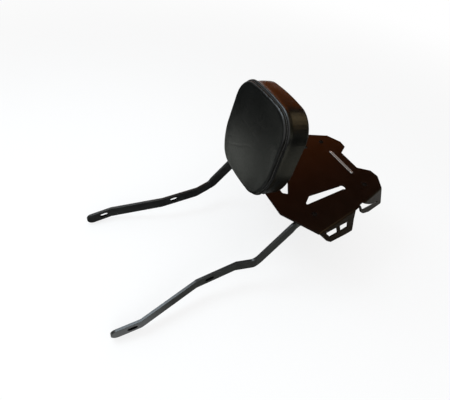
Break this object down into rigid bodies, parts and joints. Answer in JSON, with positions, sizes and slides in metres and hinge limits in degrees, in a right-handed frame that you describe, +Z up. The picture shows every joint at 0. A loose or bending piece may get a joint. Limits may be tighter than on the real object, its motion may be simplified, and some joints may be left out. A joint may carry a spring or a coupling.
{
  "type": "motorbike luggage rack with backrest",
  "caption": "Folded steel luggage rack for a motorbike's tail, with strap flanges, two bent flat-bar side arms with slots, and a leaning upholstered backrest pad.",
  "frame": {"origin": "middle of the line through the two front arm slots, where the rack is bolted to the motorbike", "axes": "+Z up, +X towards the rider's left, -Y towards the front of the motorbike"},
  "size_m": [0.3198, 0.5723, 0.3435],
  "materials": {
    "black_powder_coat": "satin",
    "black_screw_steel": "satin",
    "zinc_plated_steel": "satin",
    "bright_aluminium": "satin",
    "plywood": "matte",
    "foam": "matte",
    "black_leatherette": "satin"
  },
  "bodies": {
    "root": {"backrest_bracket": "black_powder_coat", "badge_strip": "bright_aluminium", "front_left_deck_nut": "zinc_plated_steel", "front_left_deck_screw": "black_screw_steel", "front_left_deck_washer": "zinc_plated_steel", "front_right_deck_nut": "zinc_plated_steel", "front_right_deck_screw": "black_screw_steel", "front_right_deck_washer": "zinc_plated_steel", "left_arm": "black_powder_coat", "left_badge_rivet": "bright_aluminium", "left_bracket_nut": "zinc_plated_steel", "left_bracket_screw": "black_screw_steel", "left_bracket_washer": "zinc_plated_steel", "left_mounting_strip": "black_powder_coat", "lower_left_pad_screw": "zinc_plated_steel", "lower_left_pad_spacer": "zinc_plated_steel", "lower_left_pad_washer": "zinc_plated_steel", "lower_left_tee_nut": "zinc_plated_steel", "lower_right_pad_screw": "zinc_plated_steel", "lower_right_pad_spacer": "zinc_plated_steel", "lower_right_pad_washer": "zinc_plated_steel", "lower_right_tee_nut": "zinc_plated_steel", "middle_bracket_nut": "zinc_plated_steel", "middle_bracket_screw": "black_screw_steel", "middle_bracket_washer": "zinc_plated_steel", "pad_board": "plywood", "pad_cover": "black_leatherette", "pad_foam": "foam", "rack_plate": "black_powder_coat", "rear_left_deck_nut": "zinc_plated_steel", "rear_left_deck_screw": "black_screw_steel", "rear_left_deck_washer": "zinc_plated_steel", "rear_right_deck_nut": "zinc_plated_steel", "rear_right_deck_screw": "black_screw_steel", "rear_right_deck_washer": "zinc_plated_steel", "right_arm": "black_powder_coat", "right_badge_rivet": "bright_aluminium", "right_bracket_nut": "zinc_plated_steel", "right_bracket_screw": "black_screw_steel", "right_bracket_washer": "zinc_plated_steel", "right_mounting_strip": "black_powder_coat", "upper_left_pad_screw": "zinc_plated_steel", "upper_left_pad_spacer": "zinc_plated_steel", "upper_left_pad_washer": "zinc_plated_steel", "upper_left_tee_nut": "zinc_plated_steel", "upper_right_pad_screw": "zinc_plated_steel", "upper_right_pad_spacer": "zinc_plated_steel", "upper_right_pad_washer": "zinc_plated_steel", "upper_right_tee_nut": "zinc_plated_steel"}
  },
  "joints": []
}
